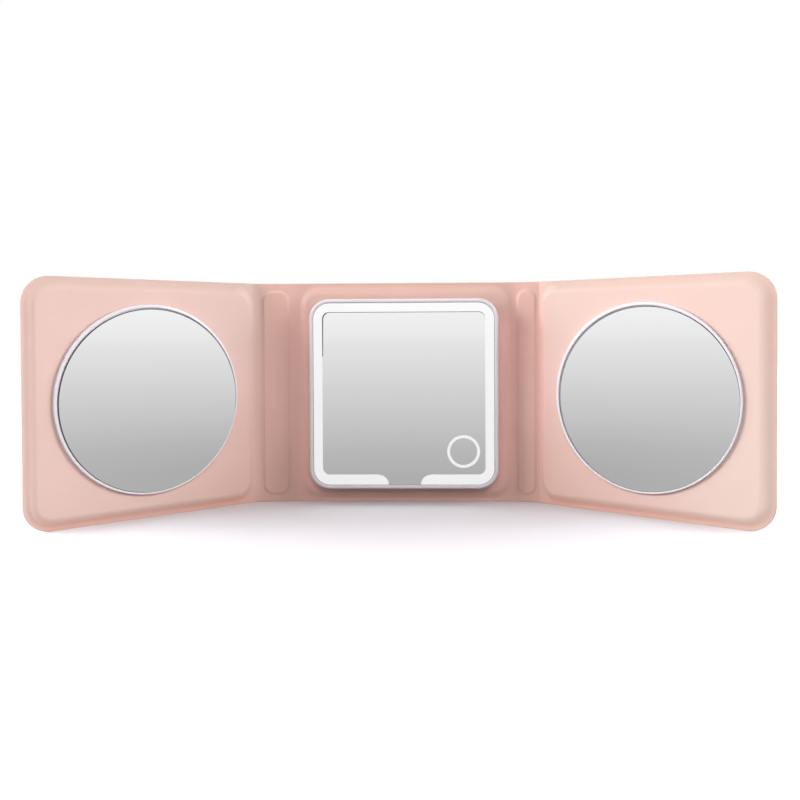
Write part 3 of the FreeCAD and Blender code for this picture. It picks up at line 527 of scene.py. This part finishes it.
FINISHES = {
    "case_leather": pressed_leather(),
    # cut foam is dull and uneven, with cells that show
    "padding_foam": surface("closed_cell_foam", "E9E6DF", "D8D4CB", 0.9, 0.4, bump_strength=0.4),
    # pressed wood fibres are dull, brown and mottled
    "fibre_board": surface("brown_fibre_board", "A28C74", "8F7A63", 0.9, 0.3, bump_strength=0.3),
    # foam tape is matt white
    "adhesive_tape": surface("foam_tape", "EFEFED", "E2E2DF", 0.8, 0.3),
    # thinly painted ABS has a soft gloss under a weak clear coat
    "module_plastic": surface("painted_abs_lilac", "D9D3DC", "D5CFD9", 0.38, 0.25, coat=0.15),
    # the front frame's paint is smoother and paler
    "bezel_satin": surface("satin_painted_abs_lilac", "E7DFE5", "E3DBE2", 0.3, 0.25, coat=0.25),
    # pearl pigment moulded into the ABS brightens it towards the light
    "mirror_tray_white": surface("pearl_moulded_abs", "EFE9EF", "EAE4EB", 0.25, 0.25, coat=0.3),
    "silvered_glass": silvered_glass(),
    # ceramic print on glass, lit from behind: even, matt and faintly glowing
    "frosted_light": surface("lit_frosted_print", "A2A2A2", "9E9E9E", 0.55, 0.2, glow=0.6),
    # polished acrylic has a clean gloss
    "clear_acrylic": surface("light_guide_acrylic", "EAF0F2", "E2E9EC", 0.1, 2.0),
    # filled polyester film is an even white
    "reflector_film": surface("white_polyester_film", "F7F7F7", "F0F0F0", 0.5, 0.5),
    # white solder mask on flexible laminate is slightly creamy
    "led_flex": surface("solder_masked_flex", "E6E6DC", "DCDCD0", 0.5, 0.3),
    # cast phosphor is yellow while it is unlit
    "led_package": surface("led_phosphor", "F2E58C", "E8D878", 0.4, 0.2),
    # printed solder mask has a wet gloss and follows the weave of the laminate
    "circuit_laminate": surface("green_solder_mask", "0D4D24", "0A4320", 0.3, 0.5),
    # moulded epoxy is black and matt
    "chip_resin": surface("black_mould_resin", "141414", "1C1C1C", 0.6, 0.2),
    # drawn foil laminate is a soft, slightly wavy metal
    "battery_pouch": surface("aluminium_laminate_pouch", "B3B5BA", "A6A8AD", 0.4, 0.8, metallic=1.0),
    # woven metallised cloth round foam is a dull grey
    "contact_foam": surface("conductive_cloth", "8C8C8F", "7A7A7E", 0.7, 0.2),
    # nickel over stamped steel is bright with a slight blur
    "plated_steel": surface("nickel_plated_steel", "C2C2C2", "B4B4B4", 0.3, 0.3, metallic=1.0),
    # nickel over a ground magnet is brighter still
    "magnet_nickel": surface("nickel_plated_magnet", "BFBFBD", "B0B0AE", 0.2, 0.3, metallic=1.0),
}
# ground edge of the mirror glass, dark; it is widest at the upper left, painted shade along that side
GLASS_EDGE_AND_PAINTED_SHADE = surface("glass_edge_and_painted_shade", "4A4B50", "5B5C62", 0.3, 0.2)
# painted shade in the gap round the pane: a dark, even grey with little gloss
PANE_GAP_SHADE = surface("painted_pane_gap_shade", "57545A", "625F65", 0.6, 0.2)
# painted shade: a nearly black hairline
BAND_EDGE_SHADE = surface("painted_band_edge_shade", "1E1E20", "28282A", 0.5, 0.2)

for entry in frame["record"]["subparts"]:
    node = frame["nodes"][entry["node"]]
    node.data.materials.clear()
    node.data.materials.append(FINISHES[entry["material_slot"]])


def dress(piece, slot):
    """Give a new piece the finish of a record's material slot."""
    piece.data.materials.append(FINISHES[slot])
    return piece


# ---------------------------------------------------------------- leather of the case
for side in (LEFT, RIGHT):
    middle = (side.pad[0] + side.pad[1]) / 2
    inner_columns = steps(0, (CENTRE_FLAT, FLAT_STEP), (HALF_CENTRE - CENTRE_SLOPE, BESIDE_STEP),
                          (side.inner - side.inner_crease, SLOPE_STEP),
                          (side.inner + side.inner_crease, BEND_STEP), (middle, SLOPE_STEP))
    outer_columns = steps(middle, (side.outer - side.outer_crease, PAD_STEP),
                          (side.outer + side.outer_crease, BEND_STEP), (side.panel + FOLD_SLOPE, SLOPE_STEP),
                          (side.panel + WING_PANEL - FREE_SLOPE, FLAT_STEP),
                          (side.free_edge - CASE_CORNER, SLOPE_STEP))
    spine, wing = side.name + "_spine", side.name + "_wing"
    inner = dress(leather(side, side.name + "_inner_leather", inner_columns, False), "case_leather")
    outer = dress(leather(side, side.name + "_outer_leather", outer_columns, True), "case_leather")
    for piece, axis, crease, near, far in ((inner, side.inner, side.inner_crease, "centre", spine),
                                           (outer, side.outer, side.outer_crease, spine, wing)):
        ends = [folded(side, axis + reach, 0.0, 0.0) * MM for reach in (-crease, crease)]
        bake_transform(piece)
    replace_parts(inner, side.name + "_inner_crease", spine + "_liner", spine + "_cover", spine + "_pad")
    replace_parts(outer, side.name + "_outer_crease", wing + "_liner", wing + "_cover", wing + "_foam")
    if side is LEFT:
        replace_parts(inner, "centre_liner", "centre_cover", "centre_foam")

# ---------------------------------------------------------------- square mirror
MODULE_WIDTH = 89.0
MODULE_HEIGHT = 89.6
MIRRORS_BELOW_MIDDLE = 0.2      # the middles of all three mirrors below the case's
MODULE_CENTRE_X = -0.55
MODULE_CENTRE_Z = CASE_HEIGHT / 2 - MIRRORS_BELOW_MIDDLE
MODULE_CORNER = 9.5
MODULE_TAPE = 0.4
SHELL_DEPTH = 5.1
BEZEL_DEPTH = 1.4
BEZEL_WIDTH = 1.7
BEZEL_OUTER_ROUND = 0.75
BEZEL_INNER_ROUND = 0.25
PANE_RECESS = 0.2               # the pane's front behind the frame's front
PANE_CLEARANCE = 0.2            # round the pane
BAND_MARGIN = 0.1               # from the pane's edge to the light band
BAND_WIDTH = 4.15
BAND_BOTTOM_WIDTH = 4.75
BAND_INNER_RADIUS = 3.2
BEZEL_BACK = PANEL_FRONT + MODULE_TAPE + SHELL_DEPTH
BEZEL_FRONT = BEZEL_BACK + BEZEL_DEPTH
PANE_FRONT = BEZEL_FRONT - PANE_RECESS


def module_path(inset, corner, bottom_inset=None):
    """Rounded rectangle inside the module's outline, and its outward directions."""
    half_width, half_height = MODULE_WIDTH / 2 - inset, MODULE_HEIGHT / 2 - inset
    below = half_height if bottom_inset is None else MODULE_HEIGHT / 2 - bottom_inset
    return rounded_path(MODULE_CENTRE_X - half_width, MODULE_CENTRE_X + half_width,
                        MODULE_CENTRE_Z - below, MODULE_CENTRE_Z + half_height, corner)


def module_front_frame():
    """Front frame: a flat back and sides, with a rounded outer and a tighter inner front edge."""
    profile = ([(-BEZEL_WIDTH, BEZEL_BACK), (0, BEZEL_BACK)]
               + round_edge(-BEZEL_OUTER_ROUND, BEZEL_FRONT - BEZEL_OUTER_ROUND, BEZEL_OUTER_ROUND, 0, 90)
               + round_edge(-BEZEL_WIDTH + BEZEL_INNER_ROUND, BEZEL_FRONT - BEZEL_INNER_ROUND,
                            BEZEL_INNER_ROUND, 90, 180, 4))
    return carried("module_front_frame", *module_path(0, MODULE_CORNER), profile)


def pane_gap_shade_line():
    """Thin dark line in the gap round the pane's edge, painted shade in place of the gap's shadow: a square
    profile in the gap.
    """
    half_width, back, sunk = 0.09, 0.8, 0.08            # depths are from the pane's front
    inset = BEZEL_WIDTH + PANE_CLEARANCE / 2
    profile = [(-half_width, PANE_FRONT - back), (half_width, PANE_FRONT - back),
               (half_width, PANE_FRONT - sunk), (-half_width, PANE_FRONT - sunk)]
    return carried("pane_gap_shade_line", *module_path(inset, MODULE_CORNER - inset), profile)


def band_edge_shade_line():
    """Nearly black hairline along the top and the upper left of the light band's inner edge, painted shade on
    those sides. Its width follows the path's outward direction, and where it is as good as nothing it sinks
    into the pane."""
    least, at_top, at_left = 0.01, 0.25, 0.5            # widths
    left_up = (45, 75)                                  # z where the left line sets in and is full
    under = 0.005                                       # reach under the print
    behind, proud, sunk = 0.1, 0.02, 0.06               # depths and heights from the pane's front
    edge = BEZEL_WIDTH + PANE_CLEARANCE + BAND_MARGIN
    path, out = module_path(edge + BAND_WIDTH, BAND_INNER_RADIUS, edge + BAND_BOTTOM_WIDTH)
    shown = (least + at_top * np.maximum(out[:, 1], 0)
             + at_left * np.maximum(-out[:, 0], 0) * smooth(path[:, 1], *left_up))
    front = PANE_FRONT + np.where(shown < 3 * least, -sunk, proud)
    profile = [(-under, PANE_FRONT - behind), (-under, front), (-shown, front), (-shown, PANE_FRONT - behind)]
    return carried("band_edge_shade_line", path, out, profile)


bezel = dress(module_front_frame(), "bezel_satin")
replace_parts(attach(bezel, "centre"), "module_bezel")
# painted shade: a dark line in the gap round the pane
gap_shade = pane_gap_shade_line()
gap_shade.data.materials.append(PANE_GAP_SHADE)
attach(gap_shade, "centre")
# painted shade: a hairline along the light band's upper left inner edge
paint = band_edge_shade_line()
paint.data.materials.append(BAND_EDGE_SHADE)
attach(paint, "centre")

# ---------------------------------------------------------------- round mirrors
RING_RADIUS = 41.65
RING_WIDTH = 1.1
RING_FROM_PANEL = 49.4          # from the wing panel's edge by the fold to the ring's middle
RING_HEIGHT = CASE_HEIGHT / 2 - MIRRORS_BELOW_MIDDLE
TRAY_TAPE = 0.2
TRAY_FLOOR = 0.4
TRAY_BACK_ROUND = 0.15
TRAY_FRONT_ROUND = 0.4
TRAY_OPENING_ROUND = 0.15
GLASS_THICKNESS = 0.8
GLASS_RECESS = 0.2
GLASS_CLEARANCE = 0.3
BEVEL_WIDTH = 0.2
BEVEL_DEPTH = 0.4               # steep enough to stay a sharp edge where the shifts make it widest
OPENING_SHIFT = 0.28            # shifts to the viewer's right and by as much down
GLASS_SHIFT = OPENING_SHIFT + 0.2
FACE_SHIFT = GLASS_SHIFT + 0.13
TRAY_BACK = PANEL_FRONT + TRAY_TAPE
GLASS_BACK = TRAY_BACK + TRAY_FLOOR
GLASS_FRONT = GLASS_BACK + GLASS_THICKNESS
TRAY_FRONT = GLASS_FRONT + GLASS_RECESS
GLASS_RADIUS = RING_RADIUS - RING_WIDTH - GLASS_CLEARANCE


def mirror_frame(side):
    """Round tray that holds the glass: rounded edges outside, and an opening down to the tray's floor."""
    outside = ([(0, TRAY_BACK), (RING_RADIUS - TRAY_BACK_ROUND, TRAY_BACK),
                (RING_RADIUS, TRAY_BACK + TRAY_BACK_ROUND)]
               + round_edge(RING_RADIUS - TRAY_FRONT_ROUND, TRAY_FRONT - TRAY_FRONT_ROUND, TRAY_FRONT_ROUND,
                            0, 90))
    opening = (round_edge(RING_RADIUS - RING_WIDTH + TRAY_OPENING_ROUND, TRAY_FRONT - TRAY_OPENING_ROUND,
                          TRAY_OPENING_ROUND, 90, 180, 4)
               + [(RING_RADIUS - RING_WIDTH, GLASS_BACK), (0, GLASS_BACK)])
    profile = [(r, h, 0) for r, h in outside] + [(r, h, OPENING_SHIFT) for r, h in opening]
    return turned_solid(side, side.name + "_mirror_frame", profile)


def mirror_glass(side):
    """Round glass: a silvered face inside a ground bevel that is widest at the upper left, because the
    face sits further right and down than the glass. The bevel and the side wall are the faces that lie
    within a millimetre of the glass's radius, and their dark finish is painted shade along the upper left."""
    profile = [(0, GLASS_BACK, GLASS_SHIFT), (GLASS_RADIUS, GLASS_BACK, GLASS_SHIFT),
               (GLASS_RADIUS, GLASS_FRONT - BEVEL_DEPTH, GLASS_SHIFT),
               (GLASS_RADIUS - BEVEL_WIDTH, GLASS_FRONT, FACE_SHIFT), (0, GLASS_FRONT, FACE_SHIFT)]
    glass = dress(turned_solid(side, side.name + "_mirror_glass", profile), "silvered_glass")
    glass.data.materials.append(GLASS_EDGE_AND_PAINTED_SHADE)
    centre = folded(side, side.panel + RING_FROM_PANEL + side.sign * GLASS_SHIFT, GLASS_BACK,
                    RING_HEIGHT - GLASS_SHIFT) * MM
    middles = np.empty(len(glass.data.polygons) * 3)
    glass.data.polygons.foreach_get("center", middles)
    dark_edge = np.linalg.norm(middles.reshape(-1, 3) - centre, axis=1) > (GLASS_RADIUS - 1) * MM
    glass.data.polygons.foreach_set("material_index", dark_edge.astype(np.int32))
    return glass


for side in (LEFT, RIGHT):
    tray = dress(mirror_frame(side), "mirror_tray_white")
    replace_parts(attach(tray, side.name + "_wing"), side.name + "_mirror_tray")
    glass = mirror_glass(side)
    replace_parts(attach(glass, side.name + "_wing"), side.name + "_round_glass")


# ---------------------------------------------------------------- floor, light and camera
# from here on, places and sizes are metres and powers are watts
FLOOR_REACH = 60
SWEEP_HALF_WAY = 0.4            # distance at which the reflected sweep is half way through its greys
SHADOW_WIDTH = 0.38             # the shadow's depth as a share of its width
SHADOW_FADE = (0.03, 0.26)      # distances over which the shadow fades, and those beside the case
BESIDE_FADE = (0.1, 0.23)
HORIZON_GREY = 0.85             # the backdrop in mirrors, from the horizon up to white
HORIZON_HEIGHT = 0.07
SOFTBOX_HEIGHT = 0.5
AIM = Vector((0, -0.02, 0.05))
# name, place, width and power
SOFTBOXES = (
    ("left_low", (-0.95, -0.32, 0.40), 0.45, 8.0),
    ("left_side", (-1.0, 0.05, 0.45), 0.6, 6.4),
    ("left_high", (-0.95, -0.5, 0.85), 0.9, 2.0),
    ("right_low", (0.95, -0.32, 0.40), 0.45, 4.4),
    ("right_side", (1.0, 0.05, 0.45), 0.6, 4.9),
    ("right_high", (0.95, -0.5, 0.85), 0.9, 4.4),
    ("front", (0.0, -1.3, 0.75), 0.8, 6.6),
    ("behind", (0.0, 1.2, 0.5), 0.8, 6.0),
)


def studio_floor():
    """Pale floor: white to the eye with the soft shadow kept, and for reflections a grey that lightens
    with distance from the case, as a long studio sweep does."""
    made, tree = material("studio_sweep")
    light = add(tree, "ShaderNodeLightPath").outputs
    place = add(tree, "ShaderNodeTexCoord").outputs["Object"]
    away = add(tree, "ShaderNodeVectorMath", {0: place}, operation="LENGTH").outputs["Value"]
    further = add(tree, "ShaderNodeMath", {0: away, 1: SWEEP_HALF_WAY}, operation="ADD").outputs[0]
    share = add(tree, "ShaderNodeMath", {0: away, 1: further}, operation="DIVIDE").outputs[0]
    ramp = add(tree, "ShaderNodeValToRGB", {"Fac": share})
    stops = ramp.color_ramp.elements
    stops[0].position, stops[0].color = 0.17, colour("B0B0B0")
    stops[1].position, stops[1].color = 1.0, colour("EDEDED")
    for position, text in ((0.32, "BABABA"), (0.5, "C9C9C9"), (0.69, "D6D6D6"), (0.83, "E0E0E0"),
                           (0.93, "E6E6E6")):
        stops.new(position).color = colour(text)
    sweep = add(tree, "ShaderNodeEmission", {"Color": ramp.outputs[0]})

    # to the eye the floor glows white away from the case, and round the case only its shadow is left
    squashed = add(tree, "ShaderNodeVectorMath", {0: place, 1: (SHADOW_WIDTH, 1.0, 1.0)},
                   operation="MULTIPLY").outputs[0]
    oval = add(tree, "ShaderNodeVectorMath", {0: squashed}, operation="LENGTH").outputs["Value"]
    across = add(tree, "ShaderNodeSeparateXYZ", {0: place}).outputs["X"]
    across = add(tree, "ShaderNodeMath", {0: across}, operation="ABSOLUTE").outputs[0]
    around, beside = (
        add(tree, "ShaderNodeMapRange", {"Value": distance, "From Min": start, "From Max": end},
            interpolation_type="SMOOTHSTEP").outputs[0]
        for distance, (start, end) in ((oval, SHADOW_FADE), (across, BESIDE_FADE)))
    far = add(tree, "ShaderNodeMath", {0: around, 1: beside}, operation="MAXIMUM").outputs[0]
    seen = add(tree, "ShaderNodeMath", {0: light["Is Camera Ray"], 1: far}, operation="MULTIPLY").outputs[0]
    paint = add(tree, "ShaderNodeMix", {"Factor": light["Is Camera Ray"], "A": colour("A09D9F"),
                                        "B": colour("DDD9DD")}, data_type="RGBA").outputs["Result"]
    lit = add(tree, "ShaderNodeAddShader", {
        0: add(tree, "ShaderNodeBsdfDiffuse", {"Color": paint}).outputs[0],
        1: add(tree, "ShaderNodeEmission", {"Strength": seen}).outputs[0]})
    bounced = add(tree, "ShaderNodeMath", {0: light["Is Glossy Ray"], 1: light["Is Transmission Ray"]},
                  operation="MAXIMUM").outputs[0]
    return finish_material(made, tree, add(tree, "ShaderNodeMixShader", {
        0: bounced, 1: lit.outputs[0], 2: sweep.outputs[0]}))


def studio_world():
    """White to the eye, a pale band above the horizon for mirrors, and no light on the object, which the
    softboxes give."""
    world = bpy.data.worlds.new("studio")
    bpy.context.scene.world = world
    world.use_nodes = True
    tree = world.node_tree
    tree.nodes.clear()
    light = add(tree, "ShaderNodeLightPath").outputs
    place = add(tree, "ShaderNodeTexCoord").outputs["Generated"]
    up = add(tree, "ShaderNodeSeparateXYZ", {0: place}).outputs["Z"]
    band = add(tree, "ShaderNodeMapRange", {"Value": up, "From Min": 0.0, "From Max": HORIZON_HEIGHT,
                                            "To Min": HORIZON_GREY, "To Max": 1.0}).outputs[0]
    bounced = add(tree, "ShaderNodeMath", {0: light["Is Glossy Ray"], 1: light["Is Transmission Ray"]},
                  operation="MAXIMUM").outputs[0]
    mirrored = add(tree, "ShaderNodeMath", {0: bounced, 1: band}, operation="MULTIPLY").outputs[0]
    strength = add(tree, "ShaderNodeMix", {"Factor": light["Is Camera Ray"], "A": mirrored,
                                           "B": 1.0}).outputs[0]
    sky = add(tree, "ShaderNodeBackground", {"Color": colour("FFFFFF"), "Strength": strength})
    add(tree, "ShaderNodeOutputWorld", {"Surface": sky.outputs[0]})


def softbox(name, place, width, power):
    """Rectangular lamp at a place, aimed at the middle of the case."""
    lamp = bpy.data.lights.new(name, "AREA")
    lamp.shape = "RECTANGLE"
    lamp.size, lamp.size_y, lamp.energy = width, SOFTBOX_HEIGHT, power
    holder = bpy.data.objects.new(name, lamp)
    holder.location = place
    holder.rotation_mode = "QUATERNION"
    holder.rotation_quaternion = (AIM - Vector(place)).to_track_quat("-Z", "Y")
    bpy.context.scene.collection.objects.link(holder)


floor_mesh = bpy.data.meshes.new("floor")
floor_mesh.from_pydata([(-FLOOR_REACH, -FLOOR_REACH, 0), (FLOOR_REACH, -FLOOR_REACH, 0),
                        (FLOOR_REACH, FLOOR_REACH, 0), (-FLOOR_REACH, FLOOR_REACH, 0)], [], [(0, 1, 2, 3)])
floor = bpy.data.objects.new("floor", floor_mesh)
bpy.context.scene.collection.objects.link(floor)
floor_mesh.materials.append(studio_floor())
studio_world()

for name, place, width, power in SOFTBOXES:
    softbox(name, place, width, power)

# camera: its lens in pixels of a square frame, its place in millimetres, its angles in radians
FRAME_PX = 800
FOCAL_PX = 831.97
PRINCIPAL_UP_PX = -51.465
SENSOR = 36.0
PLACE = (8.837, -399.889, 80.086)
PITCH, YAW, ROLL = 0.01635, -0.02822, -0.00489
ahead = np.array([math.sin(YAW) * math.cos(PITCH), math.cos(YAW) * math.cos(PITCH), -math.sin(PITCH)])
right = np.array([math.cos(YAW), -math.sin(YAW), 0])
upward = np.cross(right, ahead)
rolled_right = right * math.cos(ROLL) + upward * math.sin(ROLL)
rolled_up = -right * math.sin(ROLL) + upward * math.cos(ROLL)
axes = np.stack([rolled_right, rolled_up, -ahead], 1)
lens = bpy.data.cameras.new("camera")
lens.sensor_width = SENSOR
lens.lens = SENSOR * FOCAL_PX / FRAME_PX
lens.shift_y = PRINCIPAL_UP_PX / FRAME_PX
lens.clip_start, lens.clip_end = 0.01, 200
camera = bpy.data.objects.new("camera", lens)
camera.matrix_world = Matrix.Translation(Vector(PLACE) * MM) @ Matrix(axes.tolist()).to_4x4()
bpy.context.scene.collection.objects.link(camera)
bpy.context.scene.camera = camera
bpy.context.scene.view_settings.view_transform = "Standard"
